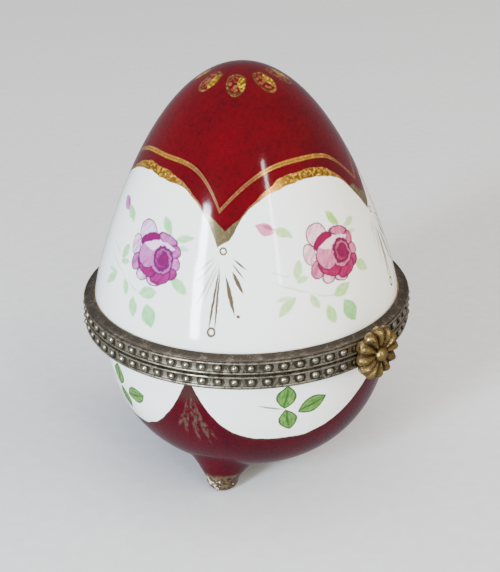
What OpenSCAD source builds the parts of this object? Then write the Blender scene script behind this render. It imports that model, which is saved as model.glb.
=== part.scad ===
// Egg-shaped porcelain trinket box with beaded brass rims, a rear hinge and a flower clasp.
// Millimetres. +Z is up, the origin is on the egg's axis at the level the feet stand on,
// and the clasp faces -Y.

/* [Porcelain egg] */
// Height of the seam between the lid and the base above the table
seam_z = 29.4; // [29:0.1:31]
// Outer radius of the lid where it enters its rim
lid_r = 25.4; // [25:0.1:25.4]
// Height of the lid's dome above its rim
lid_h = 38; // [32:0.5:44]
// Outer radius of the base where it enters its rim
base_r = 24.6; // [24.2:0.1:24.8]
// Depth of the base's bowl below its rim
base_h = 25.4; // [24.5:0.1:25.8]
// Thickness of the porcelain
wall = 2.3; // [2:0.1:2.8]

/* [Feet] */
// Distance of each foot from the egg's axis
foot_at = 13.7; // [12.5:0.1:14.5]
// Angle of the first foot from the front, towards +X
foot_turn = -63.5; // [-75:0.5:-55]
// Radius of the flat that a foot stands on
foot_flat = 1.2; // [1:0.1:1.5]

/* [Brass rims] */
// Outer radius of the plain band between the beads
band_r = 27; // [26.8:0.1:27.2]
// Number of bead places round each rim
bead_count = 68; // [60:2:72]
// Radius of a bead
bead_r = 0.58; // [0.5:0.02:0.62]
// Height of a rim, from the seam to its outer edge
rim_h = 2.6; // [2.5:0.05:2.7]

/* [Hinge] */
// Distance of the hinge pin behind the egg's axis
hinge_y = 29; // [28.9:0.1:29.2]
// Radius of the knuckles
knuckle_r = 1.5; // [1.4:0.05:1.5]
// Radius of the hinge pin
pin_r = 0.7; // [0.6:0.05:0.8]
// Length of the hinge over all its knuckles
hinge_l = 12; // [11:0.5:13]

/* [Clasp] */
// Radius of the flower
flower_r = 4.5; // [4:0.1:4.7]
// Number of petals
petal_count = 12; // [10:1:14]
// Width of the clasp's spring tongue
tongue_w = 4.4; // [4:0.1:5]

/* [Hidden] */
$fn = 96;

porcelain = "white";
brass = "darkgoldenrod";
cement = "tan";

steps = 24;              // straight stretches along an egg curve
glue = 0.22;             // thickness of the cement
touch = 0.02;            // gap between pieces of one assembly that lie face to face
lid_power = 1.37;        // how the lid narrows upwards: higher is blunter
lid_taper = 0.05;        // extra narrowing towards the lid's top
lid_belly = -0.08;       // fullness of the lid half way up
base_power = 2.06;
base_taper = -0.157;
base_belly = -0.18;
egg_inset = 1.2;         // how far the porcelain's edge lies from the seam
seam_gap = 0.1;          // gap between the two rims at the seam
strip_inset = 0.22;      // how far a bead strip stays back from the seam
flange_t = 0.85;         // thickness of a rim's flange under the porcelain's edge
strip_in = 26.3;         // radius of the joint between a rim and its bead strip
ridge_out = 0.32;        // how far a strip's two ridges stand proud of its band
ridge_t = 0.32;
lip_t = 0.4;             // thickness of the lip that covers a strip's outer edge
far = 60;                // longer than the object's half width
bite = 0.3;              // overlap that joins two shapes of one piece

bore_r = pin_r + 0.05;
knuckle_gap = 0.12;
knuckle_l = (hinge_l - 2 * knuckle_gap) / 3;
leaf_half = hinge_l / 2;
leaf_out = hinge_y - 0.9;
leaf_h = 2.1;
leaf_clear = knuckle_r + 0.15;
hinge_cut = hinge_l / 2 + 0.3;
pin_head_r = 1.1;
pin_head_t = 0.6;

pad_front = 27.9;        // distance of the clasp pad's face in front of the egg's axis
pad_top = 2.15;          // heights above the seam
pad_low = 0.3;
tongue_t = 0.6;
tongue_low = -2.9;
nib_h = 0.6;
catch_front = 27.6;
catch_low = -2.15;
catch_half = 1.9;
nib_back = 27.68;
clasp_cut = tongue_w / 2 + 0.3;
flower_z = 0.25;         // centre of the flower, from the seam
disc_t = 0.9;
disc_r = 3.9;
petal_r = 0.8;
petal_in = 1.5;
rivet_r = 0.5;
rivet_bore = 0.53;
rivet_head = 1.15;
rivet_rise = 0.3;
tongue_front = pad_front + touch + tongue_t;

// Half of an egg: points from the rim, where the radius is r0, to the pole at height h.
function egg(r0, h, power, taper, belly) =
    [for (i = [0:steps]) let (t = sin(90 * i / steps))
        [r0 * sqrt(max(0, 1 - pow(t, power))) * (1 - taper * t + belly * t * (1 - t)), h * t]];

// A solid dome standing on z = 0, with a straight edge of depth skirt below it.
module egg_solid(r0, h, power, taper, belly, skirt) {
    rotate_extrude()
        polygon(concat([[0, -skirt], [r0, -skirt]], egg(r0, h, power, taper, belly)));
}

module lid_egg(inset, skirt) {
    egg_solid(lid_r - inset, lid_h - inset, lid_power, lid_taper, lid_belly, skirt);
}

module base_egg(inset, skirt) {
    egg_solid(base_r - inset, base_h - inset, base_power, base_taper, base_belly, skirt);
}

// Puts the lid's parts at their height: z = 0 is the seam.
module on_seam() { translate([0, 0, seam_z]) children(); }
// The same for the base's parts, which are drawn upwards from the seam and turned over.
module under_seam() { translate([0, 0, seam_z]) mirror([0, 0, 1]) children(); }

// One foot: a rounded knob that spreads into the bowl above it.
module foot() {
    knob_r = 2.8;
    knob_h = 2;
    root_h = 9.5;
    root_r = 5.2;
    rounding = [for (a = [0:15:90])
        [foot_flat + (knob_r - foot_flat) * sin(a), knob_h * (1 - cos(a))]];
    flare = [for (k = [0.25:0.25:1])
        [knob_r + (root_r - knob_r) * pow(k, 1.4), knob_h + (root_h - knob_h) * k]];
    rotate_extrude() polygon(concat([[0, 0]], rounding, flare, [[0, root_h]]));
}

module base_shell() color(porcelain) {
    difference() {
        union() {
            under_seam() translate([0, 0, rim_h]) base_egg(0, rim_h - egg_inset);
            for (k = [0:2]) rotate([0, 0, foot_turn + 120 * k])
                translate([0, -foot_at, 0]) foot();
        }
        under_seam() translate([0, 0, rim_h]) base_egg(wall, rim_h);
    }
}

module lid_shell() color(porcelain) {
    on_seam() translate([0, 0, rim_h]) difference() {
        lid_egg(0, rim_h - egg_inset);
        lid_egg(wall, rim_h);
    }
}

// The glue that holds the porcelain in its rim: an angle section, under the edge and outside it.
module cement_ring(egg_r) {
    floor_z = seam_gap / 2 + flange_t + touch;
    edge_z = egg_inset - touch;
    out = egg_r + glue;
    rotate_extrude() polygon([[egg_r - wall, floor_z], [out, floor_z], [out, rim_h],
        [egg_r + touch, rim_h], [egg_r + touch, edge_z], [egg_r - wall, edge_z]]);
}

module base_cement() color(cement) under_seam() cement_ring(base_r);
module lid_cement() color(cement) on_seam() cement_ring(lid_r);

// A plain rim: a flange at the seam, a wall round the porcelain, and a sloping lip over the strip.
module rim(egg_r, lip_rise) {
    in = egg_r + glue + touch;
    rotate_extrude() polygon([[egg_r - wall, seam_gap / 2], [strip_in, seam_gap / 2],
        [strip_in, rim_h - lip_t], [band_r + 0.1, rim_h - lip_t], [band_r + 0.1, rim_h - 0.15],
        [in, rim_h + lip_rise], [in, seam_gap / 2 + flange_t], [egg_r - wall, seam_gap / 2 + flange_t]]);
}

module base_rim() color(brass) under_seam() rim(base_r, 0.1);
module lid_rim() color(brass) on_seam() rim(lid_r, 0.35);

// A bead: a round stud with its rounded end facing outwards.
module bead() {
    rotate([90, 0, 0]) rotate_extrude($fn = 14)
        polygon([[0, -bite], [bead_r, -bite],
            for (b = [0:45:90]) bead_r * [cos(b), sin(b)]]);
}

// The embossed strip round a rim: a band between two ridges, with a row of beads.
// It is in two halves, which stop on both sides of the hinge and of the clasp.
module bead_strip() {
    low = strip_inset;
    high = rim_h - lip_t - touch;
    out = band_r + ridge_out;
    from = asin(clasp_cut / strip_in);
    to = 180 - asin(hinge_cut / strip_in);
    for (side = [0, 1]) mirror([side, 0, 0]) rotate([0, 0, from - 90])
        rotate_extrude(angle = to - from)
            polygon([[strip_in + touch, low], [out, low], [out, low + ridge_t],
                [band_r, low + ridge_t], [band_r, high - ridge_t], [out, high - ridge_t],
                [out, high], [strip_in + touch, high]]);
    for (i = [0:bead_count - 1]) {
        a = i * 360 / bead_count;
        half_gap = abs(a - 180) > 90 ? clasp_cut : hinge_cut;
        if (abs(band_r * sin(a)) > half_gap + bead_r)
            rotate([0, 0, a]) translate([0, -band_r, (low + high) / 2]) bead();
    }
}

module base_bead_strip() color(brass) under_seam() bead_strip();
module lid_bead_strip() color(brass) on_seam() bead_strip();

// A block against the rim's wall, from the strip's joint out to a flat face.
module rim_block(half, out, low, high) {
    difference() {
        translate([-half, 20, low]) cube([2 * half, out - 20, high - low]);
        cylinder(r = strip_in + touch, h = 4 * rim_h, center = true);
    }
}

module along_hinge(x, l, r) { translate([x, hinge_y, 0]) rotate([0, 90, 0]) cylinder(r = r, h = l); }

// A hinge leaf with knuckles at the starts given, cut clear of the other leaf's knuckles.
module hinge_leaf(own, other) {
    difference() {
        union() {
            difference() {
                rim_block(leaf_half, leaf_out, strip_inset, leaf_h);
                for (x = other) along_hinge(x - knuckle_gap, knuckle_l + 2 * knuckle_gap, leaf_clear);
            }
            for (x = own) {
                along_hinge(x, knuckle_l, knuckle_r);
                translate([x, leaf_out - bite, strip_inset])
                    cube([knuckle_l, hinge_y - leaf_out + bite, knuckle_r - strip_inset]);
            }
        }
        along_hinge(-far, 2 * far, bore_r);
    }
}

outer_knuckles = [-leaf_half, leaf_half - knuckle_l];
inner_knuckles = [-knuckle_l / 2];

module base_hinge_leaf() color(brass) under_seam() hinge_leaf(outer_knuckles, inner_knuckles);
module lid_hinge_leaf() color(brass) on_seam() hinge_leaf(inner_knuckles, outer_knuckles);

// The pin, with a peened head outside each end knuckle.
module hinge_pin() color(brass) on_seam() {
    along_hinge(-leaf_half - touch - 0.1, hinge_l + 2 * touch + 0.2, pin_r);
    for (x = [-leaf_half - touch - pin_head_t, leaf_half + touch])
        along_hinge(x, pin_head_t, pin_head_r);
}

// The block on the lid's rim that the clasp's tongue is soldered to.
module clasp_pad() color(brass) on_seam() rotate([0, 0, 180])
    rim_block(tongue_w / 2, pad_front, pad_low, pad_top);

// The block on the base's rim that the tongue's nib snaps under.
module clasp_catch() color(brass) on_seam() rotate([0, 0, 180])
    rim_block(catch_half, catch_front, catch_low, -pad_low);

// The spring strip behind the flower, with its nib turned inwards at the lower end.
module clasp_tongue() color(brass) on_seam() difference() {
    union() {
        translate([-tongue_w / 2, -tongue_front, tongue_low])
            cube([tongue_w, tongue_t, pad_top - tongue_low]);
        translate([-catch_half, -tongue_front + tongue_t - 0.1, tongue_low])
            cube([2 * catch_half, tongue_front - tongue_t - nib_back + 0.1, nib_h]);
    }
    front_hole();
}

module front_hole() {
    translate([0, -far / 2, flower_z]) rotate([90, 0, 0])
        cylinder(r = rivet_bore, h = far, center = true);
}

// The flower: a disc with a ring of round-ended petals.
module clasp_flower() color(brass) on_seam() {
    back = tongue_front + touch;
    difference() {
        translate([0, -back, flower_z]) rotate([90, 0, 0]) union() {
            cylinder(r = disc_r, h = disc_t);
            for (i = [0:petal_count - 1]) rotate([0, 0, (i + 0.5) * 360 / petal_count]) {
                translate([petal_in, 0, disc_t]) rotate([0, 90, 0])
                    cylinder(r = petal_r, h = flower_r - petal_r - petal_in);
                translate([flower_r - petal_r, 0, disc_t]) sphere(r = petal_r);
            }
        }
        // flat back, against the tongue
        translate([-far / 2, -back, -far / 2]) cube(far);
        front_hole();
    }
}

// The rivet through the flower and the tongue. Its domed head is the bead at the flower's heart.
module clasp_rivet() color(brass) on_seam() {
    back = pad_front + 2 * touch;
    shank_l = tongue_front + 2 * touch + disc_t - back;
    translate([0, -back, flower_z]) rotate([90, 0, 0]) rotate_extrude()
        polygon([[0, 0], [rivet_r, 0], [rivet_r, shank_l], [rivet_head, shank_l],
            for (a = [0:15:90]) [rivet_head * cos(a), shank_l + rivet_rise + rivet_head * sin(a)]]);
}

base_shell();
base_cement();
base_rim();
base_bead_strip();
clasp_catch();
base_hinge_leaf();
hinge_pin();
lid_shell();
lid_cement();
lid_rim();
lid_bead_strip();
clasp_pad();
lid_hinge_leaf();
clasp_tongue();
clasp_flower();
clasp_rivet();
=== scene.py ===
"""The looks of an egg-shaped porcelain trinket box: painted glaze, gilding and antiqued brass."""

import math
import random

import bmesh
import bpy
from mathutils import Matrix, Vector


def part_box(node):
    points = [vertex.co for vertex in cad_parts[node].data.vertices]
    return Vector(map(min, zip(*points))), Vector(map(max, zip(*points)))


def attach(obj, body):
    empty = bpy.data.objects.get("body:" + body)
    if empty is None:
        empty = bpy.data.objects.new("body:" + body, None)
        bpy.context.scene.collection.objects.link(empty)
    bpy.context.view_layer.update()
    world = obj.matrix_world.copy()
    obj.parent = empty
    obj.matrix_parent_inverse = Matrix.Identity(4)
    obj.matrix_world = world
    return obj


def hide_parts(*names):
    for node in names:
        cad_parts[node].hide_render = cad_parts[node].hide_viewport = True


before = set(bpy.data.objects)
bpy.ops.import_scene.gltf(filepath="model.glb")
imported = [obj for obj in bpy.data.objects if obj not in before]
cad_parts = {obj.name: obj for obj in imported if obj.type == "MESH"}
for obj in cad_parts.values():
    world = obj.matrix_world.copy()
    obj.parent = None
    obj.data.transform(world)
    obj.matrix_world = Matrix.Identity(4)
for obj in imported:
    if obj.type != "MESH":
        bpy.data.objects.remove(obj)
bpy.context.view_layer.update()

MM = 0.001


# ---------------------------------------------------------------- sizes, in millimetres

def low(node, axis):
    """Lowest coordinate of a CAD node along x, y or z."""
    return getattr(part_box(node)[0], axis) / MM


def high(node, axis):
    """Highest coordinate of a CAD node along x, y or z."""
    return getattr(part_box(node)[1], axis) / MM


SEAM_GAP = 0.1
SEAM = low("lid_rim", "z") - SEAM_GAP / 2      # height of the seam above the table
WALL = 2.3                                     # porcelain
EGG_INSET = 1.2                                # the porcelain's edge lies this far from the seam
RIM_H = 2.6                                    # from the seam to a rim's outer edge

LID_R = high("lid_shell", "x")
LID_H = high("lid_shell", "z") - SEAM - RIM_H
LID_SHAPE = (1.37, 0.05, -0.08)                # power, taper and belly of the lid's curve
BASE_R = high("base_shell", "x")
BASE_H = 25.4
BASE_SHAPE = (2.06, -0.157, -0.18)

FOOT_AT = 13.7                                 # from the egg's axis
FOOT_TURN = -63.5                              # the first of three feet, in degrees from the clasp
FOOT_FLAT = 1.2                                # radius of the flat that stands on the table
KNOB_R = 2.8                                   # the knob at a foot's end
KNOB_H = 2
ROOT_R = 5.6                                   # where a foot runs out into the bowl

BAND_R = 27.0                                  # brass band between the beads
STRIP_IN = 26.3                                # inside of the bead strips
BEADS = 68
BEAD_R = 0.6
RIDGE = 0.32
LIP_T = 0.4
CLASP_HALF = 2.5                               # half of the gap in the strips at the clasp
HINGE_HALF = 6.3                               # and at the hinge

FLOWER_BACK = -high("clasp_flower", "y")       # distance in front of the egg's axis
FLOWER_R = (high("clasp_flower", "x") - low("clasp_flower", "x")) / 2
FLOWER_Z = (high("clasp_rivet", "z") + low("clasp_rivet", "z")) / 2
PETALS = 12
PANEL = 90                                     # degrees round the box in a painted panel

RIM_FIT = 0.24                                 # gap round the porcelain in a rim's hole
FLANGE_T = 0.85                                # thickness of a rim's flange, inside the box
INSIDE = -9                                    # what "along" says on a shell's inside

VIEW_TURN = -43.5                              # the camera's place round the box: 0 faces the clasp
VIEW_RISE = 25.5                               # and above the horizontal, in degrees


# ---------------------------------------------------------------- meshes

def piece(name, verts, faces, body, stands_for, materials):
    """A smooth mesh from vertices in millimetres. It rides on a body and replaces a CAD node."""
    mesh = bpy.data.meshes.new(name)
    mesh.from_pydata([Vector(v) * MM for v in verts], [], faces)
    work = bmesh.new()
    work.from_mesh(mesh)
    bmesh.ops.recalc_face_normals(work, faces=work.faces)
    work.to_mesh(mesh)
    work.free()
    mesh.polygons.foreach_set("use_smooth", [True] * len(mesh.polygons))
    for material in materials:
        mesh.materials.append(material)
    obj = bpy.data.objects.new(name, mesh)
    bpy.context.scene.collection.objects.link(obj)
    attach(obj, body)
    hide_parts(stands_for)
    return obj


def turned(outline, segments, arc=(0, 360), closed=False, first=0):
    """Vertices, faces and the outline's index of each vertex, for an outline of (radius, height)
    turned about the Z axis. Angles count from the clasp. first is the first vertex's number."""
    whole = arc[1] - arc[0] == 360
    columns = segments if whole else segments + 1
    angles = [math.radians(arc[0] + (arc[1] - arc[0]) * k / segments) for k in range(columns)]
    verts, faces, rows, owner = [], [], [], []
    for i, (r, z) in enumerate(outline):
        if r < 1e-6:
            rows.append([first + len(verts)] * columns)
            verts.append((0, 0, z))
            owner.append(i)
        else:
            rows.append([first + len(verts) + k for k in range(columns)])
            verts += [(r * math.sin(a), -r * math.cos(a), z) for a in angles]
            owner += [i] * columns
    for i in range(len(rows) if closed else len(rows) - 1):
        upper, lower = rows[i], rows[(i + 1) % len(rows)]
        for k in range(segments):
            n = (k + 1) % columns
            corners = list(dict.fromkeys([upper[k], upper[n], lower[n], lower[k]]))
            if len(corners) > 2:
                faces.append(corners)
    if closed and not whole:
        faces.append([row[0] for row in rows])
        faces.append([row[-1] for row in rows])
    return verts, faces, owner


def soften(obj, width, angle=30):
    """Rounds a mesh's sharp edges."""
    bevel = obj.modifiers.new("soft_edges", "BEVEL")
    bevel.width = width * MM
    bevel.segments = 2
    bevel.limit_method = "ANGLE"
    bevel.angle_limit = math.radians(angle)


def egg_curve(r0, h, shape, steps):
    """(radius, height) from the rim to the pole, as in the CAD model."""
    power, taper, belly = shape
    points = []
    for i in range(steps + 1):
        t = math.sin(math.pi / 2 * i / steps)
        r = r0 * math.sqrt(max(0, 1 - t ** power)) * (1 - taper * t + belly * t * (1 - t))
        points.append((r, h * t))
    return points


def lengths(points):
    """Distance along a line of points, from its first one."""
    total, out = 0, [0]
    for a, b in zip(points, points[1:]):
        total += math.dist(a, b)
        out.append(total)
    return out


def shell_outline(r0, h, shape, steps=90):
    """A shell's outline from its edge, up over the outside to the pole and back down inside, with the
    distance along the outside. Heights count from the rim's outer edge, towards the pole."""
    skirt = EGG_INSET - RIM_H
    outer = egg_curve(r0, h, shape, steps)
    inner = egg_curve(r0 - WALL, h - WALL, shape, steps // 2)
    edge = 0.25
    outline = [(r0 - edge, skirt), (r0, skirt + edge)] + outer
    outline += inner[::-1] + [(r0 - WALL, skirt + edge), (r0 - WALL + edge, skirt)]
    along = [skirt, skirt] + lengths(outer) + [INSIDE] * (len(inner) + 2)
    return outline, along, outer


def mark_along(obj, values):
    """Stores how far each vertex lies along the painted outside, in millimetres from the rim."""
    attribute = obj.data.attributes.new("along", "FLOAT", "POINT")
    attribute.data.foreach_set("value", values)


def lid_porcelain(materials):
    outline, along, _ = shell_outline(LID_R, LID_H, LID_SHAPE)
    placed = [(r, SEAM + RIM_H + h) for r, h in outline]
    verts, faces, owner = turned(placed, 256, closed=True)
    obj = piece("lid_porcelain", verts, faces, "lid", "lid_shell", materials)
    mark_along(obj, [along[i] for i in owner])
    use_inner_glaze(obj)


def use_inner_glaze(obj):
    """Gives the second material to the faces on the shell's inside."""
    along = obj.data.attributes["along"].data
    for face in obj.data.polygons:
        if any(along[v].value == INSIDE for v in face.vertices):
            face.material_index = 1


def base_porcelain(materials):
    outline, along, outer = shell_outline(BASE_R, BASE_H, BASE_SHAPE)
    placed = [(r, SEAM - RIM_H - h) for r, h in outline]
    verts, faces, owner = turned(placed, 256, closed=True)
    values = [along[i] for i in owner]
    foot_verts, foot_faces = [], []
    for k in range(3):
        more_verts, more_faces = foot(FOOT_TURN + 120 * k, outer, len(verts) + len(foot_verts))
        foot_verts += more_verts
        foot_faces += more_faces
    run = lengths(outer)
    for x, y, _ in foot_verts:
        r = math.hypot(x, y)
        values.append(next(s for (ring, _), s in zip(outer, run) if ring <= r))
    obj = piece("base_porcelain", verts + foot_verts, faces + foot_faces, "base", "base_shell",
                materials)
    mark_along(obj, values)
    use_inner_glaze(obj)


def bowl_height(outer, r):
    """Height of the bowl's outside above the table, at a radius."""
    for (r1, h1), (r2, h2) in zip(outer, outer[1:]):
        if r2 <= r <= r1:
            return SEAM - RIM_H - (h1 + (h2 - h1) * (r1 - r) / (r1 - r2))
    return SEAM - RIM_H


def foot(turn, outer, first, columns=64, rows=18):
    """Vertices and faces of a moulded foot: a knob whose wall flows out into the bowl all round.
    Every column runs up the knob and along a curve that ends in the bowl's own slope."""
    turn = math.radians(turn)
    centre = Vector((FOOT_AT * math.sin(turn), -FOOT_AT * math.cos(turn)))
    verts, faces = [(centre.x, centre.y, 0)], []
    knob = [(FOOT_FLAT, 0)]
    for a in range(10, 91, 10):
        a = math.radians(a)
        knob.append((FOOT_FLAT + (KNOB_R - FOOT_FLAT) * math.sin(a), KNOB_H * (1 - math.cos(a))))
    for k in range(columns):
        a = 2 * math.pi * k / columns
        out = Vector((math.cos(a), math.sin(a)))
        root = bowl_height(outer, (centre + out * ROOT_R).length)
        slope = root - bowl_height(outer, (centre + out * (ROOT_R - 1)).length)
        start, end = Vector((KNOB_R, KNOB_H)), Vector((ROOT_R, root + 0.06))
        pull = start + Vector((0.7, 0.35 * (root - KNOB_H)))
        meet = end - Vector((1, slope)) * 0.8
        wall = []
        for i in range(1, rows + 1):
            t = i / rows
            wall.append(start * (1 - t) ** 3 + pull * 3 * t * (1 - t) ** 2
                        + meet * 3 * t * t * (1 - t) + end * t ** 3)
        for d, z in knob + [(p.x, p.y) for p in wall]:
            verts.append((centre.x + out.x * d, centre.y + out.y * d, z))
    rings = len(knob) + rows
    for k in range(columns):
        here, there = 1 + k * rings, 1 + (k + 1) % columns * rings
        faces.append([first, first + here, first + there])
        for i in range(rings - 1):
            faces.append([first + here + i, first + here + i + 1,
                          first + there + i + 1, first + there + i])
    return verts, faces


def rim(name, body, up, egg_r, lip_rise, material):
    """A rim's flange, wall and sloping lip. up is 1 for the lid and -1 for the base."""
    inside = egg_r + RIM_FIT
    flange = SEAM_GAP / 2 + FLANGE_T
    lip = [(BAND_R + 0.1, RIM_H - LIP_T)]
    for i in range(9):
        t = i / 8
        dip = 0.22 * math.sin(math.pi * t)
        lip.append((BAND_R + 0.1 + (inside - BAND_R - 0.1) * t,
                    RIM_H - 0.15 + (lip_rise + 0.15) * t - dip))
    outline = [(egg_r - WALL, SEAM_GAP / 2), (STRIP_IN, SEAM_GAP / 2), (STRIP_IN, RIM_H - LIP_T)]
    outline += lip + [(inside, flange), (egg_r - WALL, flange)]
    verts, faces, _ = turned([(r, SEAM + up * z) for r, z in outline], 256, closed=True)
    obj = piece(name + "_band", verts, faces, body, name, [material])
    soften(obj, 0.06)


def bead_strip(name, body, up, seed, material):
    """The embossed strip round a rim, in two halves, with slightly uneven beads."""
    bottom, top = 0.22, RIM_H - LIP_T - 0.02
    out = BAND_R + RIDGE
    outline = [(STRIP_IN + 0.02, bottom), (out - 0.06, bottom), (out, bottom + 0.1),
               (out, bottom + RIDGE - 0.1), (out - 0.08, bottom + RIDGE), (BAND_R, bottom + RIDGE),
               (BAND_R, top - RIDGE), (out - 0.08, top - RIDGE), (out, top - RIDGE + 0.1),
               (out, top - 0.1), (out - 0.06, top), (STRIP_IN + 0.02, top)]
    outline = [(r, SEAM + up * z) for r, z in outline]
    start = math.degrees(math.asin(CLASP_HALF / STRIP_IN))
    stop = 180 - math.degrees(math.asin(HINGE_HALF / STRIP_IN))
    verts, faces = [], []
    for arc in ((start, stop), (360 - stop, 360 - start)):
        more_verts, more_faces, _ = turned(outline, 120, arc, True, len(verts))
        verts += more_verts
        faces += more_faces
    chance = random.Random(seed)               # each bead is a little off in size, place and depth
    for i in range(BEADS):
        a = math.radians(i * 360 / BEADS)
        gap = CLASP_HALF if math.cos(a) > 0 else HINGE_HALF
        if abs(BAND_R * math.sin(a)) <= gap + BEAD_R:
            continue
        size = BEAD_R * chance.uniform(0.93, 1.04)
        a += chance.uniform(-0.0012, 0.0012)
        sink = chance.uniform(0, 0.08)
        middle = Vector(((BAND_R - sink) * math.sin(a), -(BAND_R - sink) * math.cos(a),
                         SEAM + up * (bottom + top) / 2 + chance.uniform(-0.03, 0.03)))
        more_verts, more_faces = ball(middle, size, len(verts))
        verts += more_verts
        faces += more_faces
    obj = piece(name + "_beads", verts, faces, body, name, [material])
    soften(obj, 0.03, 50)


def ball(middle, radius, first, columns=20, rows=12):
    """Vertices and faces of a sphere."""
    verts = [middle + Vector((0, 0, radius)), middle - Vector((0, 0, radius))]
    for i in range(1, rows):
        polar = math.pi * i / rows
        for k in range(columns):
            a = 2 * math.pi * k / columns
            verts.append(middle + radius * Vector((math.sin(polar) * math.cos(a),
                                                   math.sin(polar) * math.sin(a), math.cos(polar))))
    faces = []
    for k in range(columns):
        n = (k + 1) % columns
        faces.append([first, first + 2 + k, first + 2 + n])
        last = first + 2 + (rows - 2) * columns
        faces.append([first + 1, last + n, last + k])
        for i in range(rows - 2):
            row = first + 2 + i * columns
            faces.append([row + k, row + columns + k, row + columns + n, row + n])
    return verts, faces


def petal_relief(r, lobe):
    """Height of the flower's front over its back, where lobe is 1 on a petal and 0 between two."""
    plate, rise, heart_r = 0.6, 1.2, 0.8
    crest = 0.72 * FLOWER_R
    if r > crest:
        swell = math.sqrt(max(0, 1 - ((r - crest) / (FLOWER_R - crest)) ** 2))
    else:
        swell = 0.55 + 0.45 * math.sin(math.pi / 2 * max(0, r - heart_r) / (crest - heart_r))
    groove = 0.32 + 0.68 * lobe ** 0.6
    return plate + rise * swell * groove


def clasp_flower(material, columns=288, rows=44):
    """The pressed flower, with rounded petals round a hollow where its heart sits."""
    verts, faces = [(0, 0, petal_relief(0, 1)), (0, 0, 0)], []
    for i in range(1, rows + 1):
        for k in range(columns):
            a = 2 * math.pi * k / columns
            lobe = 0.5 + 0.5 * math.cos(PETALS * a)
            edge = FLOWER_R * (0.9 + 0.1 * lobe ** 0.5)
            r = edge * math.sin(math.pi / 2 * i / rows)
            verts.append((r * math.cos(a), r * math.sin(a), petal_relief(r * FLOWER_R / edge, lobe)))
    rim_row = len(verts) - columns
    for k in range(columns):
        x, y, _ = verts[rim_row + k]
        verts.append((x * 0.97, y * 0.97, 0))
    for k in range(columns):
        n = (k + 1) % columns
        faces.append([0, 2 + k, 2 + n])
        for i in range(rows):
            row = 2 + i * columns
            faces.append([row + k, row + columns + k, row + columns + n, row + n])
        faces.append([1, 2 + rows * columns + n, 2 + rows * columns + k])
    placed = [(x, -FLOWER_BACK - z, FLOWER_Z + y) for x, y, z in verts]
    piece("flower", placed, faces, "clasp", "clasp_flower", [material])


def clasp_rivet(material):
    """The bead at the flower's heart, with its shank."""
    head = (high("clasp_rivet", "x") - low("clasp_rivet", "x")) / 2
    back, front = -high("clasp_rivet", "y"), -low("clasp_rivet", "y")
    shank = 0.5
    outline = [(0, back), (shank, back), (shank, front - head - 0.3), (head - 0.08, front - head - 0.3)]
    for a in range(0, 91, 6):
        a = math.radians(a)
        outline.append((head * math.cos(a), front - head + head * math.sin(a)))
    outline[-1] = (0, front)
    verts, faces, _ = turned(outline, 48)
    placed = [(x, -z, FLOWER_Z + y) for x, y, z in verts]
    piece("flower_heart", placed, faces, "clasp", "clasp_rivet", [material])


# ---------------------------------------------------------------- numbers and colours as shader nodes

class Field:
    """A value that varies over a surface: the output of a shader node, with ordinary arithmetic."""

    def __init__(self, graph, socket):
        self.graph = graph
        self.socket = socket

    def __add__(self, other):
        return self.graph.math("ADD", self, other)

    def __sub__(self, other):
        return self.graph.math("SUBTRACT", self, other)

    def __rsub__(self, other):
        return self.graph.math("SUBTRACT", other, self)

    def __mul__(self, other):
        return self.graph.math("MULTIPLY", self, other)

    def __truediv__(self, other):
        return self.graph.math("DIVIDE", self, other)

    def __abs__(self):
        return self.graph.math("ABSOLUTE", self)

    __radd__ = __add__
    __rmul__ = __mul__


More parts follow.
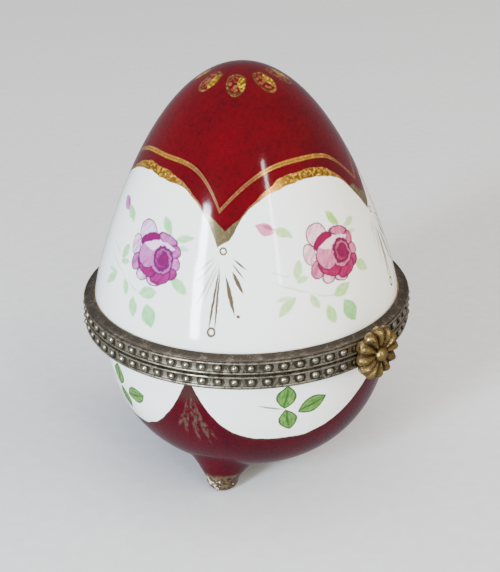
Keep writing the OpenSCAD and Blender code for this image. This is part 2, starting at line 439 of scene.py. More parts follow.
class Graph:
    """A new material's nodes."""

    def __init__(self, name):
        self.material = bpy.data.materials.new(name)
        self.material.use_nodes = True
        self.tree = self.material.node_tree
        self.shader = self.tree.nodes["Principled BSDF"]

    def feed(self, socket, value):
        """Links a Field to a socket, or sets the socket to a plain value."""
        if isinstance(value, Field):
            self.tree.links.new(value.socket, socket)
        else:
            socket.default_value = value

    def node(self, kind, inputs, output=0, **settings):
        """A new node, with inputs by name or number, and one of its outputs as a Field."""
        new = self.tree.nodes.new("ShaderNode" + kind)
        for name, value in settings.items():
            setattr(new, name, value)
        for name, value in inputs.items():
            self.feed(new.inputs[name], value)
        return Field(self, new.outputs[output])

    def math(self, operation, *values):
        return self.node("Math", dict(enumerate(values)), operation=operation)

    def split(self, vector):
        """A vector's x, y and z."""
        parts = self.node("SeparateXYZ", {0: vector}).socket.node.outputs
        return [Field(self, part) for part in parts]

    def join(self, x, y):
        """A vector from x and y."""
        return self.node("CombineXYZ", {0: x, 1: y})

    def azimuth(self, x, y):
        """Degrees round the box from the clasp."""
        return self.math("DEGREES", self.math("ARCTAN2", x, y * -1))

    def nearest(self, angle, pitch):
        """How far an angle is past the nearest multiple of pitch."""
        return self.math("FLOORED_MODULO", angle + pitch / 2, pitch) - pitch / 2

    def panels(self, azimuth, point):
        """Places in four painted panels, with a point between each two: the degrees from a panel's
        first edge, the degrees from the nearest point, and whether this is the panel before the
        point at that azimuth, after it, or at the back."""
        turn = self.math("FLOORED_MODULO", azimuth - point, PANEL)
        number = self.math("FLOOR", (azimuth - point) / PANEL)
        left = self.math("COMPARE", number, -1, 0.1)
        front = self.math("COMPARE", number, 0, 0.1)
        back = self.math("COMPARE", abs(number), 2, 0.1)
        return turn, self.nearest(turn, PANEL), left, front, back

    def position(self):
        """The place in the object's own axes, in millimetres."""
        place = self.node("TexCoord", {}, "Object")
        return self.node("VectorMath", {0: place, "Scale": 1 / MM}, operation="SCALE")

    def along(self):
        """Millimetres along the painted outside, from the rim."""
        return self.node("Attribute", {}, "Fac", attribute_name="along")

    def noise(self, place, scale, detail=2, rough=0.5, output="Fac"):
        """Noise from 0 to 1. scale is its waves in a millimetre."""
        return self.node("TexNoise", {"Vector": place, "Scale": scale, "Detail": detail,
                                      "Roughness": rough}, output)

    def ramp(self, value, start, end, low_value=0.0, high_value=1.0):
        """A smooth step, from low_value where value is start to high_value where it is end."""
        return self.node("MapRange", {"Value": value, "From Min": start, "From Max": end,
                                      "To Min": low_value, "To Max": high_value},
                         interpolation_type="SMOOTHSTEP")

    def mix(self, mask, first, second):
        """The first colour where mask is 0 and the second where it is 1."""
        return self.node("Mix", {0: mask, 6: first, 7: second}, 2, data_type="RGBA")

    def wander(self, vector, scale, amount):
        """The place vector, shaken by up to amount millimetres, as a brush line is."""
        shake = self.noise(self.position(), scale, output="Color")
        shake = self.node("VectorMath", {0: shake, 1: (0.5, 0.5, 0.5)}, operation="SUBTRACT")
        return self.node("VectorMath", {0: shake, 1: (amount * 2,) * 3, 2: vector},
                         operation="MULTIPLY_ADD")

    def bump(self, height, size):
        """Relief on the shader's normal. size is the height, in millimetres, of a step from 0 to 1."""
        normal = self.node("Bump", {"Height": height, "Distance": size * MM, "Strength": 1.0})
        self.feed(self.shader.inputs["Normal"], normal)


def colour(red, green, blue):
    """A paint colour from its usual 0 to 255 values."""
    def linear(value):
        value /= 255
        return value / 12.92 if value < 0.04045 else ((value + 0.055) / 1.055) ** 2.4
    return (linear(red), linear(green), linear(blue), 1)


BRUSH_SOFT = 0.07                              # half the width of a stroke's edge, in millimetres


class Painting:
    """What is painted on the glaze: a colour, and where the surface is gilded."""

    def __init__(self, graph, ground):
        self.graph = graph
        self.colour = ground
        self.gilding = graph.node("Value", {})
        self.gilding.socket.default_value = 0

    def lay(self, mask, paint):
        """Covers what is there with paint, where mask is 1."""
        self.colour = self.graph.mix(mask, self.colour, paint)
        self.gilding = self.gilding * (1 - mask)

    def gild(self, mask):
        """Makes the surface metal, where mask is 1."""
        self.gilding = self.graph.math("MAXIMUM", self.gilding, mask)

    def local(self, spot, u, v, length, width, turn):
        """The place in a brush stroke's own axes: 1 at its ends and sides."""
        return self.graph.node("Mapping", {"Vector": spot, "Location": (u, v, 0),
                                           "Rotation": (0, 0, math.radians(turn)),
                                           "Scale": (length / 2, width / 2, 1)}, vector_type="TEXTURE")

    def leaf(self, spot, u, v, length, width, turn, soft=BRUSH_SOFT):
        """The mask of a stroke that is pointed at both ends."""
        p, q, _ = self.graph.split(self.local(spot, u, v, length, width, turn))
        edge = self.graph.math("MULTIPLY_ADD", p, p, abs(q))
        return self.graph.ramp(edge, 1 + soft * 2 / width, 1 - soft * 2 / width)

    def blade(self, spot, start, end, width, soft=BRUSH_SOFT):
        """The same from point to point."""
        along = Vector(end) - Vector(start)
        middle = (Vector(start) + Vector(end)) / 2
        return self.leaf(spot, middle.x, middle.y, along.length, width,
                         math.degrees(math.atan2(along.y, along.x)), soft)

    def reach(self, spot, u, v, length, width, turn=0):
        """0 in the middle of an oval and 1 on its edge."""
        place = self.local(spot, u, v, length, width, turn)
        return self.graph.node("VectorMath", {0: place}, "Value", operation="LENGTH")

    def oval(self, spot, u, v, length, width, turn=0, soft=BRUSH_SOFT):
        """The mask of an oval."""
        return self.graph.ramp(self.reach(spot, u, v, length, width, turn),
                               1 + soft * 2 / width, 1 - soft * 2 / width)

    def loop(self, spot, u, v, length, width, turn=0, line=0.12):
        """The mask of an oval's outline."""
        away = abs(self.reach(spot, u, v, length, width, turn) - 1)
        return self.graph.ramp(away, (line + BRUSH_SOFT) * 2 / width, (line - BRUSH_SOFT) * 2 / width)

    def petal(self, spot, u, v, length, width, turn, fill, edge, line=0.16):
        """A petal with a darker outline."""
        reach = self.reach(spot, u, v, length, width, turn)
        step = 2 / width
        self.lay(self.graph.ramp(reach, 1 + SOFT * step, 1 - SOFT * step), edge)
        self.lay(self.graph.ramp(reach, 1 - (line - BRUSH_SOFT) * step, 1 - (line + 0.1) * step), fill)


# ---------------------------------------------------------------- the painted porcelain

WHITE = colour(240, 240, 235)
BURGUNDY = colour(86, 2, 9)
DEEP_BURGUNDY = colour(52, 2, 8)
WINE = colour(68, 1, 14)
DEEP_WINE = colour(36, 1, 10)
GOLD = colour(206, 150, 56)
# lighter gold for the stroke in each crown drop: a painted highlight on real gilding
GOLD_HIGHLIGHT = colour(226, 176, 50)
OLIVE_GOLD = colour(100, 88, 60)
DULL_GOLD = colour(136, 96, 56)
INK = colour(84, 70, 50)
LID_CREAM = colour(236, 228, 210)              # the white glaze's stains
BASE_CREAM = colour(230, 226, 212)
INNER_CREAM = colour(226, 224, 212)
INNER_SPECK = colour(150, 146, 136)
OUTLINE_BROWN = colour(70, 40, 30)             # round the bowl's panels
FEATHER_TIP = colour(58, 36, 32)
FEATHER = colour(80, 70, 58)
FOOT_GILT = colour(98, 84, 62)
FOOT_BROWN = colour(66, 40, 34)
BISCUIT = colour(206, 198, 168)                # the bare body where a foot is chipped
ROSE = dict(pale=(228, 188, 196), blush=(196, 118, 146), body=(156, 46, 94), deep=(130, 12, 62),
            line=(98, 26, 60))
# the rose colours painted bluer: a painted cast of the cool light on the left-hand panel
ROSE_IN_COOL_LIGHT = dict(pale=(216, 184, 216), blush=(176, 104, 162), body=(138, 46, 112), deep=(114, 8, 74),
                 line=(88, 26, 76))
# the last green is a leaf green painted bluer: a painted cast of the cool light on the left-hand panel
LEAF = dict(fresh=colour(142, 192, 80), mint=colour(120, 184, 100), faint=colour(168, 204, 130),
            blue_lit=colour(112, 188, 132))
SPRIG = dict(dark=colour(38, 66, 28), mid=colour(54, 98, 34), light=colour(102, 140, 68))
ROSE_DEGREE = 0.385                            # millimetres in a degree, at the roses' height
FAN_DEGREE = 0.395
BOWL_DEGREE = 0.42                             # and at the bowl's sprigs
LID_POINT = -55                                # one of the cap's four points, in degrees from the clasp
BASE_POINT = -65.5                             # and one of the bowl's
SOFT = 0.08                                    # half the width of a painted edge, in millimetres
LID_SHAKE = 1.1                                # how widely the cap's edge wavers
BOWL_SHAKE = 0.8


def stained_white(g, place, scale, cream):
    """The white glaze, with faint cream clouds."""
    return g.mix(g.ramp(g.noise(place, scale, 3), 0.3, 0.8) * 0.3, WHITE, cream)


def burgundy(g, place, light, dark):
    """The mottled glaze of the lid's cap and the bowl."""
    cloud = g.ramp(g.noise(place, 0.12, 3, 0.6), 0.35, 0.68)
    speck = g.ramp(g.noise(place, 1.6, 4, 0.7), 0.42, 0.7)
    return g.mix(cloud * 0.35 + speck * 0.5, light, dark)


def rose(painting, spot, tone):
    """A rose decal about (0, 0), ten millimetres across, in washes that thin out in streaks."""
    g = painting.graph
    grain = painting.local(spot, 0, 0, 6.0, 1.6, 62)
    streak = g.ramp(g.noise(grain, 1.0, 4, 0.65), 0.36, 0.66)
    washes = [(-2.0, 2.9, 4.2, 3.9, -20, "pale", "blush"),
              (2.5, 2.6, 4.4, 1.6, -14, "blush", "body"),
              (4.3, 1.0, 2.0, 2.3, 10, "body", "blush"),
              (4.5, -0.9, 1.9, 2.2, 0, "blush", "body"),
              (3.9, -2.5, 2.5, 2.0, 20, "body", "deep"),
              (-4.0, 0.3, 2.2, 3.5, 8, "pale", "body"),
              (-3.1, -2.2, 2.4, 2.9, -20, "blush", "deep"),
              (-1.4, -3.7, 2.5, 2.1, 10, "pale", "deep"),
              (1.0, -4.1, 3.0, 1.7, -6, "pale", "body"),
              (2.1, -3.1, 4.0, 2.9, 24, "deep", "body"),
              (-0.9, -2.3, 4.6, 2.6, -30, "deep", "body"),
              (-1.1, 1.8, 4.4, 2.3, 22, "deep", "line"),
              (-1.0, -0.5, 4.0, 4.3, 8, "blush", "body")]
    for u, v, length, width, turn, fill, shade in washes:
        wash = g.mix(streak * 0.7, tone[fill], tone[shade])
        painting.petal(spot, u, v, length, width, turn, wash, tone["line"])
    painting.lay(painting.leaf(spot, 1.0, 1.2, 6.4, 1.8, 4, 0.12), tone["pale"])
    heart(painting, spot, tone)


def heart(painting, spot, tone):
    """The rolled petals at the rose's middle: broken curls of light and dark."""
    g = painting.graph
    place = painting.local(g.wander(spot, 1.6, 0.4), 2.1, -0.7, 4.2, 4.6, 0)
    reach = g.node("VectorMath", {0: place}, "Value", operation="LENGTH")
    p, q, _ = g.split(place)
    curl = g.math("SINE", g.math("ARCTAN2", q, p) + reach * 15 + g.noise(spot, 0.9, 3) * 6)
    light = g.mix(g.ramp(reach, 0.3, 1.2), tone["deep"], tone["blush"])
    painting.lay(g.ramp(reach, 1.06, 0.92), g.mix(g.ramp(curl, -0.6, 1.1), tone["line"], light))


def rose_leaves(painting, spot, flower_spot, tone, blue_lit):
    """The leaves, stems and bud round a rose. The leaves are painted bluer where the last argument is
    1, as a painted cast of the cool light on that side.
    """
    g = painting.graph
    stems = [((-10.7, -1.4), (-7.6, -2.5)), ((-10.7, -3.0), (-4.7, -5.4)), ((-4.4, -5.6), (-0.4, -7.0))]
    for start, end in stems:
        painting.lay(painting.blade(spot, start, end, 0.22) * 0.55, LEAF["fresh"])
    leaves = [(1.9, 4.7, 3.4, 1.7, 128, "fresh", 1), (5.7, 3.2, 3.3, 1.1, 12, "faint", 1),
              (5.5, 1.7, 2.4, 0.9, -8, "faint", 0.8), (5.6, -3.9, 3.6, 1.7, -36, "faint", 1),
              (0.4, -6.2, 3.5, 1.8, 20, "fresh", 0.9), (1.2, -9.7, 4.0, 2.5, -70, "mint", 1),
              (-2.1, -9.3, 3.2, 1.7, -80, "fresh", 0.9), (-4.4, -6.8, 2.6, 1.2, -66, "faint", 1),
              (-8.7, -6.9, 4.0, 1.5, 46, "fresh", 0.85), (-9.0, -5.6, 2.4, 0.7, 8, "fresh", 0.7),
              (-6.4, -1.6, 3.0, 1.5, 70, "faint", 1), (-5.9, -3.1, 2.2, 1.0, 12, "faint", 1),
              (-8.2, 4.4, 3.0, 1.6, -28, "fresh", 0.9), (-7.3, 4.1, 2.4, 1.0, -48, "faint", 1)]
    thin = g.ramp(g.noise(spot, 1.1, 4, 0.6), 0.3, 0.6, 0.78, 1.0)
    for u, v, length, width, turn, green, strength in leaves:
        # painted cool light: the leaves of the left-hand panel are tinted bluer
        wash = g.mix(blue_lit * 0.6, LEAF[green], LEAF["blue_lit"])
        painting.lay(painting.leaf(spot, u, v, length, width, turn, 0.16) * thin * strength, wash)
    painting.lay(painting.leaf(flower_spot, -10.9, 5.1, 3.6, 1.9, -22, 0.14), tone["blush"])
    painting.lay(painting.leaf(flower_spot, -10.3, 5.3, 2.4, 0.7, -18, 0.14) * 0.7, tone["body"])


def fan(painting, spot):
    """The gilded ornament under each point of the cap: a ring over a fan of rays.
    spot is millimetres sideways from the point, and upwards from the rim."""
    g = painting.graph
    rays = [((0.5, 13.4), (-0.85, 3.4), 0.38), ((0.6, 13.0), (0.05, 3.4), 0.34),
            ((1.5, 12.2), (2.9, 6.0), 0.62), ((2.5, 12.7), (4.2, 9.3), 0.62),
            ((2.6, 14.6), (4.8, 12.9), 0.3), ((2.5, 13.9), (4.3, 11.6), 0.26)]
    worn = [((0.2, 14.0), (-2.8, 7.2), 0.34), ((-0.2, 14.2), (-3.1, 10.6), 0.3),
            ((-0.4, 14.7), (-2.9, 12.4), 0.26), ((0.4, 13.6), (-1.6, 8.2), 0.26)]
    for start, end, width in rays:
        painting.lay(painting.blade(spot, start, end, width), INK)
    for start, end, width in worn:
        painting.lay(painting.blade(spot, start, end, width, 0.12) * 0.5, INK)
    hairpin = painting.loop(spot, -0.42, 3.4, 1.3, 1.0, 84, 0.14)
    ring = painting.loop(spot, 1.0, 15.7, 1.0, 1.0, 0, 0.14)
    dot = painting.oval(spot, 3.4, 5.9, 0.55, 0.5)
    painting.lay(g.math("MAXIMUM", g.math("MAXIMUM", hairpin, ring), dot), INK)


def crown(painting, place, azimuth):
    """Eight gilded drops in a ring of six millimetres' radius, round the top of the lid. A stroke of
    lighter gold down one side of each drop is a painted highlight on the gilding.
    """
    g = painting.graph
    first_drop, ring_r = -51.5, 6.0
    x, y, _ = g.split(place)
    radius = g.math("SQRT", x * x + y * y)
    sideways = g.nearest(azimuth - first_drop, 360 / 8)
    spot = g.join(sideways * radius * math.radians(1), radius)
    spot = g.wander(spot, 0.8, 0.15)
    worn = g.ramp(g.noise(place, 1.6, 3), 0.42, 0.6)
    outline = painting.loop(spot, 0, ring_r, 3.7, 2.8, 84, 0.13)
    inside = painting.oval(spot, -0.2, ring_r, 2.8, 1.9, 84, 0.2) * worn * 0.6
    # painted highlight: a stroke of lighter gold down one side of each gilt drop, gilded like the rest
    bright = painting.leaf(spot, 0.85, ring_r, 2.9, 1.1, 80)
    painting.lay(g.math("MAXIMUM", outline, inside), DULL_GOLD)
    painting.lay(bright, GOLD_HIGHLIGHT)
    painting.gild(g.math("MAXIMUM", outline, bright))


def finish_glaze(painting, place, worn_scale):
    """Feeds a painting to its material's shader, with worn gilding and an even, slightly wavy glaze."""
    g = painting.graph
    fade = g.ramp(g.noise(place, worn_scale, 4, 0.7), 0.36, 0.52)
    gilding = painting.gilding * fade
    inputs = g.shader.inputs
    g.feed(inputs["Base Color"], painting.colour)
    g.feed(inputs["Metallic"], gilding)
    g.feed(inputs["Roughness"], g.ramp(gilding, 0, 1, 0.09, 0.3))
    inputs["IOR"].default_value = 1.4
    g.bump(g.noise(place, 0.16, 3, 0.5), 0.05)


def lid_paint():
    """Burgundy cap with four points over white panels, with a rose in each panel."""
    g = Graph("lid_paint")
    place = g.position()
    x, y, _ = g.split(place)
    along = g.along()
    azimuth = g.azimuth(x, y)
    stray = g.ramp(azimuth, 8, 28) * g.ramp(azimuth, 160, 60) * 5
    azimuth = azimuth + stray                  # one point was painted 5 degrees too near the clasp
    turn, from_point, left, _, back = g.panels(azimuth, LID_POINT)
    from_middle = abs(turn - PANEL / 2)
    round_end = left * g.ramp(turn, 45, 46)    # one half of an arch is rounder than the others

    painting = Painting(g, stained_white(g, place, 0.08, LID_CREAM))

    rose_turn = 49 + 11.6 * left + 5 * back    # each transfer was laid on by hand
    rose_height = 13.7
    spot = g.join((turn - rose_turn) * ROSE_DEGREE, along - rose_height)
    leaf_spot = g.wander(spot, 0.5, 0.35)
    rose_spot = g.wander(spot, 0.9, 0.22)
    # the left-hand panel's rose takes the bluer colours: a painted cast of the cool light on that side
    tone = {name: g.mix(left, colour(*ROSE[name]), colour(*ROSE_IN_COOL_LIGHT[name])) for name in ROSE}
    rose_leaves(painting, leaf_spot, rose_spot, tone, left)
    rose(painting, rose_spot, tone)
    fan(painting, g.wander(g.join(from_point * FAN_DEGREE, along), 0.9, 0.12))
    over = cap(painting, place, along, from_middle, from_point, round_end)
    cap_gilding(painting, place, along, over, from_middle, round_end)
    point_gilding(painting, place, along, over, from_point)
    crown(painting, place, azimuth)
    finish_glaze(painting, place, 2.2)
    return g.material


def cap(painting, place, along, from_middle, from_point, round_end):
    """The burgundy above the panels' arches, and the distance past its wavy edge. An arch drops
    with a power of the distance from its middle."""
    g = painting.graph
    arch_top, arch_drop = 25.2, 8.9
    outwards = from_middle / (PANEL / 2)
    edge = arch_top - g.math("POWER", outwards, round_end * 1.5 + 2.6) * arch_drop
    droop = g.ramp(abs(from_point - 5.5), 6, 0) * 1.2
    over = along + edge_shake(g, place, LID_SHAKE) - (edge - droop)
    painting.lay(g.ramp(over, -SOFT, SOFT), burgundy(g, place, BURGUNDY, DEEP_BURGUNDY))
    return over


def edge_shake(g, place, amount):
    """How far a painted edge strays from its curve."""
    return (g.noise(place, 0.35, 3) - 0.5) * amount


def cap_gilding(painting, place, along, over, from_middle, round_end):
    """A gilt band along the cap's edge, which thins out towards the points, and a fine line above."""
    g = painting.graph
    band = g.ramp(from_middle, 5, 36, 1.45, 0.3)
    gold = g.ramp(over, -SOFT, 0.06) * g.ramp(over - band, SOFT, -SOFT)
    line_top, line_drop = 28.4, 6.8
    bend = g.math("POWER", from_middle / (PANEL / 2), round_end * 2 + 2.6) * line_drop
    line = abs(along - line_top + bend)
    fine = g.ramp(line, 0.4, 0.3) * g.ramp(line, 0.02, 0.16, 0.3, 0.8)
    gold = g.math("MAXIMUM", gold, fine)
    dulled = g.ramp(from_middle + g.noise(place, 0.3, 2) * 10, 18, 36)
    painting.lay(gold, g.mix(dulled, GOLD, DULL_GOLD))
    painting.gild(gold * g.ramp(dulled, 0, 1, 1.0, 0.6))


def point_gilding(painting, place, along, over, from_point):
    """The dull gilding in each point of the cap, up to an edge like a V."""
    g = painting.graph
    notch = abs(from_point - 3) * 0.28 + 18.7
    under = notch - along - edge_shake(g, place, LID_SHAKE)
    tip = g.ramp(over, -SOFT, SOFT) * g.ramp(under, -SOFT, SOFT)
    tip = tip * g.ramp(along, 21.6, 21.3) * g.ramp(abs(from_point), 14, 13.5)
    painting.lay(tip, OLIVE_GOLD)
    painting.gild(tip * 0.45)


def base_paint():
    """Burgundy bowl with four points up to the rim between white panels, with a sprig in each."""
    g = Graph("base_paint")
    place = g.position()
    x, y, z = g.split(place)
    along = g.along()
    turn, from_point, left, front, back = g.panels(g.azimuth(x, y), BASE_POINT)
    painting = Painting(g, stained_white(g, place, 0.1, BASE_CREAM))

    sprig_turn = 36 + 15.5 * left + 4 * back   # each transfer was laid on by hand
    sprig_drop = 5.5 + 1.7 * left
    spot = g.join((turn - sprig_turn) * BOWL_DEGREE, sprig_drop - along)
    sprig(painting, g.wander(spot, 0.7, 0.16))

    over = bowl(painting, place, along, turn - PANEL / 2, left, front)
    feathers(painting, g.join(from_point * BOWL_DEGREE, along), over)
    feet(painting, place, z)
    finish_glaze(painting, place, 2.0)
    return g.material


def bowl(painting, place, along, from_middle, left, front):
    """The burgundy below the panels, outlined in brown, and the distance past its wavy edge. The
    front panel is deepest 3 degrees before its middle, with a blunter curve before than after."""
    g = painting.graph
    aside = front * 3
    from_middle = from_middle + aside
    power = g.ramp(from_middle, -6, 6, 1, 0) * 0.8 * front + 3.1
    power = power - g.ramp(from_middle, -6, 6) * front * 1.1
    blunt = g.math("POWER", abs(from_middle) / (PANEL / 2 - aside), power)
    panel_depth = 12 + 1.8 * left
    over = along + edge_shake(g, place, BOWL_SHAKE) - (1 - blunt) * panel_depth
    painting.lay(g.ramp(over, -SOFT, SOFT), burgundy(g, place, WINE, DEEP_WINE))
    outline = g.ramp(abs(over - 0.2), 0.3, 0.16)
    painting.lay(outline * 0.8, OUTLINE_BROWN)
    painting.gild(outline * 0.4)
    return over


def sprig(painting, spot):
    """Three leaves on a thin stem, each outlined and veined in dark green."""
    g = painting.graph
    painting.lay(painting.blade(spot, (-4.6, 1.0), (-0.3, -0.1), 0.34) * 0.8, SPRIG["dark"])
    for u, v, length, width, turn in [(0.0, 2.1, 4.3, 3.3, 84), (4.4, -0.1, 5.2, 3.1, 22),
                                      (0.4, -2.4, 4.5, 3.1, -76)]:
        painting.lay(painting.leaf(spot, u, v, length, width, turn), SPRIG["dark"])
        grain = painting.local(spot, u, v, 3.4, 0.8, turn)
        stroke = g.ramp(g.noise(grain, 1.0, 3, 0.6), 0.4, 0.62)
        inside = painting.leaf(spot, u, v, length - 0.5, width - 0.5, turn, 0.16)
        painting.lay(inside * 0.9, g.mix(stroke, SPRIG["light"], SPRIG["mid"]))
        painting.lay(painting.leaf(spot, u, v, length * 0.8, 0.35, turn, 0.1) * 0.7, SPRIG["dark"])


def feathers(painting, spot, over):
    """Worn gilding on each point of the bowl: a dark tip, with feathery strokes falling from it."""
    g = painting.graph
    side, down, _ = g.split(spot)
    worn = g.ramp(g.noise(g.join(side * 1.6, down * 0.7), 1.0, 4, 0.6), 0.4, 0.62)
    on_bowl = g.ramp(over, 0, 0.15)
    tip = g.ramp(down, 5.5, 3.0) * on_bowl
    painting.lay(tip * 0.85, FEATHER_TIP)
    strokes = [((0.2, 2.5), (0.5, 13.6), 1.1), ((-0.5, 4.0), (-1.7, 12.2), 0.9),
               ((0.8, 4.6), (2.5, 13.4), 0.9), ((-0.9, 6.2), (-3.0, 10.6), 0.7),
               ((1.4, 7.2), (3.7, 12.0), 0.7)]
    for start, end, width in strokes:
        mark = painting.blade(spot, start, end, width, 0.2) * on_bowl * worn
        painting.lay(mark * 0.75, FEATHER)
        painting.gild(mark * 0.15)


def feet(painting, place, z):
    """Gilded feet, worn to the cream body at the edge."""
    g = painting.graph
    shake = g.noise(place, 0.45, 3)
    gilt = g.ramp(z + shake * 1.6, 5.2, 4.2)
    worn = g.ramp(g.noise(place, 1.1, 4, 0.7), 0.4, 0.6)
    painting.lay(gilt, g.mix(worn, FOOT_GILT, FOOT_BROWN))
    painting.gild(gilt * 0.4)
    chip = g.ramp(g.noise(place, 0.5, 4, 0.65), 0.58, 0.62) * g.ramp(z, 3.6, 2.4)
    painting.lay(chip, BISCUIT)


def inner_glaze():
    """The plain white glaze inside the box, with a little grey speckle."""
    g = Graph("inner_glaze")
    place = g.position()
    speck = g.ramp(g.noise(place, 1.2, 4, 0.7), 0.66, 0.76)
    tone = g.mix(g.ramp(g.noise(place, 0.09, 3), 0.3, 0.75), WHITE, INNER_CREAM)
    g.feed(g.shader.inputs["Base Color"], g.mix(speck * 0.25, tone, INNER_SPECK))
    g.feed(g.shader.inputs["Roughness"], g.ramp(g.noise(place, 0.5), 0.3, 0.7, 0.08, 0.16))
    g.bump(g.noise(place, 0.16, 3, 0.5), 0.05)
    return g.material


# ---------------------------------------------------------------- brass and cement

BAND_TONES = colour(76, 66, 56), colour(156, 143, 122)
BEAD_TONES = colour(66, 58, 48), colour(212, 200, 174)
FLOWER_TONES = colour(78, 60, 36), colour(206, 170, 100)
HINGE_TONES = colour(84, 66, 44), colour(196, 168, 118)
VERDIGRIS = colour(84, 84, 58)
CEMENT_CREAM = colour(178, 158, 122)
CEMENT_BROWN = colour(92, 70, 48)


def petal_grooves(g, rubbed, x, _, z):
    """What is rubbed bright, less the grooves between the petals and the ring round the heart."""
    rise = z - FLOWER_Z
    petal = g.math("COSINE", g.math("ARCTAN2", rise, x) * PETALS)
    reach = g.math("SQRT", x * x + rise * rise)
    groove = g.ramp(petal, 0.1, -0.8) * g.ramp(reach, 1.1, 1.4)
    heart_ring = g.ramp(abs(reach - 1.35), 0.4, 0.15)
    return rubbed * (1 - g.math("MAXIMUM", groove, heart_ring) * 0.9)


def bead_recesses(g, rubbed, x, y, z):
    """The same for a bead strip: bright on the beads and dark in the recess round each."""
    radius = g.math("SQRT", x * x + y * y)
    rubbed = g.math("MAXIMUM", rubbed * 0.75, g.ramp(radius, BAND_R + 0.28, BAND_R + 0.52))
    side = g.nearest(g.azimuth(x, y), 360 / BEADS) * math.radians(BAND_R)
    rise = abs(z - SEAM) - (RIM_H - LIP_T + 0.2) / 2
    away = g.math("SQRT", side * side + rise * rise)
    recess = g.ramp(away, BEAD_R * 0.75, BEAD_R * 0.95)
    recess = recess * g.ramp(away, BEAD_R + 0.45, BEAD_R + 0.3)
    return rubbed * (1 - recess * g.ramp(radius, BAND_R + 0.3, BAND_R + 0.1))


def antique_brass(name, tones, wear, relief=None):
    """Brass with a brown patina, rubbed bright here and there. tones are the colours of both, and
    wear adds to the bright share. relief is one of the two functions above."""
    g = Graph(name)
    place = g.position()
    grime = g.noise(place, 0.7, 5, 0.65)
    fine = g.noise(place, 4.5, 3, 0.6)
    rubbed = g.ramp(grime * 0.6 + fine * 0.4 + wear, 0.42, 0.66)
    if relief:
        rubbed = relief(g, rubbed, *g.split(place))
    dark, worn = tones
    patina = g.mix(g.ramp(g.noise(place, 0.25, 3), 0.5, 0.75) * 0.3, dark, VERDIGRIS)
    g.feed(g.shader.inputs["Base Color"], g.mix(rubbed, patina, worn))
    g.feed(g.shader.inputs["Metallic"], g.ramp(rubbed, 0, 1, 0.75, 1.0))
    g.feed(g.shader.inputs["Roughness"], g.ramp(rubbed, 0, 1, 0.52, 0.24))
    g.bump(grime * 0.6 + fine * 0.4, 0.06)
    return g.material


def cement():
    """Cream setting cement, stained brown near the brass."""
    g = Graph("setting_cement")
    place = g.position()
    stain = g.ramp(g.noise(place, 0.8, 5, 0.7), 0.4, 0.7)
    g.feed(g.shader.inputs["Base Color"], g.mix(stain, CEMENT_CREAM, CEMENT_BROWN))
    g.feed(g.shader.inputs["Roughness"], g.ramp(stain, 0, 1, 0.75, 0.9))
    g.bump(g.noise(place, 3.0, 4, 0.7), 0.05)
    return g.material


# ---------------------------------------------------------------- the studio

def direction(turn, rise):
    """The unit vector from the box towards a place round it, in degrees from the clasp and upwards."""
    turn, rise = math.radians(turn), math.radians(rise)
    return Vector((math.sin(turn) * math.cos(rise), -math.cos(turn) * math.cos(rise), math.sin(rise)))


def softbox(name, turn, rise, distance, width, height, brightness, tint, reflected=True):
    """An area light that faces the box, with sizes in metres. brightness is its radiance. It shows
    in the glaze if reflected."""
    data = bpy.data.lights.new(name, "AREA")
    data.shape = "RECTANGLE"
    data.size = width
    data.size_y = height
    data.energy = brightness * math.pi * width * height
    data.color = tint
    obj = bpy.data.objects.new(name, data)
    obj.location = direction(turn, rise) * distance + Vector((0, 0, SEAM * MM))
    obj.rotation_euler = direction(turn, rise).to_track_quat("Z", "Y").to_euler()
    obj.visible_glossy = reflected
    bpy.context.scene.collection.objects.link(obj)


def studio():
    """A pale floor, which doesn't show in the glaze, two narrow lights that do, and two soft fills."""
    size = 3.0                                 # metres from the middle of the floor to its edge
    mesh = bpy.data.meshes.new("floor")
    mesh.from_pydata([(-size, -size, 0), (size, -size, 0), (size, size, 0), (-size, size, 0)], [],
                     [(0, 1, 2, 3)])
    g = Graph("floor_paper")
    tone = g.ramp(g.noise(g.position(), 0.4, 4, 0.6), 0.3, 0.7)
    g.feed(g.shader.inputs["Base Color"], g.mix(tone, colour(226, 226, 228), colour(220, 220, 223)))
    g.shader.inputs["Roughness"].default_value = 0.8
    mesh.materials.append(g.material)
    floor = bpy.data.objects.new("floor", mesh)
    bpy.context.scene.collection.objects.link(floor)
    floor.visible_glossy = False

    softbox("left_window", VIEW_TURN - 37, 13, 0.75, 0.09, 0.42, 125, (0.76, 0.88, 1.0))
    softbox("right_window", VIEW_TURN + 27, 28, 0.75, 0.035, 0.42, 40, (1.0, 0.98, 0.93))
    softbox("warm_fill", VIEW_TURN + 78, 26, 1.2, 1.0, 1.0, 5.2, (1.0, 0.87, 0.66), False)
    softbox("ceiling", VIEW_TURN, 80, 1.6, 2.2, 2.2, 1.7, (1.0, 0.96, 0.9), False)
    world = bpy.data.worlds.new("room")
    world.use_nodes = True
    background = world.node_tree.nodes["Background"]
    background.inputs["Color"].default_value = (0.74, 0.77, 0.85, 1)
    background.inputs["Strength"].default_value = 0.4
    bpy.context.scene.world = world


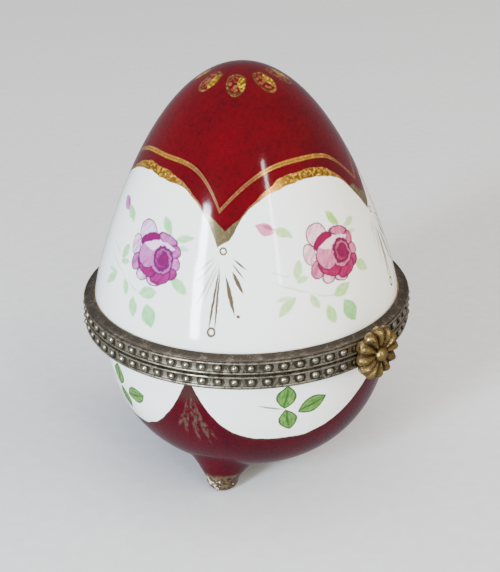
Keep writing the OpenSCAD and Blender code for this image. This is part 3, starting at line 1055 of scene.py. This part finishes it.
def camera():
    """A long lens close to the box, slightly rolled, as in the photograph."""
    distance, roll, focal = 209.9, math.radians(-1.25), 77.8
    aside, lift = 0.64, 1.79                   # from the seam's middle to the picture's
    forward = -direction(VIEW_TURN, VIEW_RISE)
    right = forward.cross(Vector((0, 0, 1))).normalized()
    up = right.cross(forward)
    aim = Vector((0, 0, SEAM)) + right * aside + up * lift
    tilted_right = right * math.cos(roll) + up * math.sin(roll)
    tilted_up = up * math.cos(roll) - right * math.sin(roll)
    data = bpy.data.cameras.new("camera")
    data.sensor_width = 36
    data.lens = focal
    data.clip_start = 0.01
    obj = bpy.data.objects.new("camera", data)
    turn = Matrix((tilted_right, tilted_up, -forward)).transposed().to_4x4()
    obj.matrix_world = Matrix.Translation((aim - forward * distance) * MM) @ turn
    bpy.context.scene.collection.objects.link(obj)
    bpy.context.scene.camera = obj


# ---------------------------------------------------------------- the box

def build():
    band_brass = antique_brass("band_brass", BAND_TONES, -0.06)
    bead_brass = antique_brass("bead_brass", BEAD_TONES, 0.03, bead_recesses)
    flower_brass = antique_brass("flower_brass", FLOWER_TONES, 0.03, petal_grooves)
    hinge_brass = antique_brass("hinge_brass", HINGE_TONES, 0.02)
    glaze = inner_glaze()
    lid_porcelain([lid_paint(), glaze])
    base_porcelain([base_paint(), glaze])
    rim("lid_rim", "lid", 1, LID_R, 0.35, band_brass)
    rim("base_rim", "base", -1, BASE_R, 0.1, band_brass)
    bead_strip("lid_bead_strip", "lid", 1, 3, bead_brass)
    bead_strip("base_bead_strip", "base", -1, 8, bead_brass)
    clasp_flower(flower_brass)
    clasp_rivet(flower_brass)
    for node in ("clasp_tongue", "clasp_pad", "clasp_catch",
                 "base_hinge_leaf", "lid_hinge_leaf", "hinge_pin"):
        finish_node(node, hinge_brass)
    for node in ("base_cement", "lid_cement"):
        finish_node(node, cement())


def finish_node(node, material):
    """Gives a CAD node one material all over."""
    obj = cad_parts[node]
    for slot in obj.material_slots:
        slot.material = material


build()
studio()
camera()
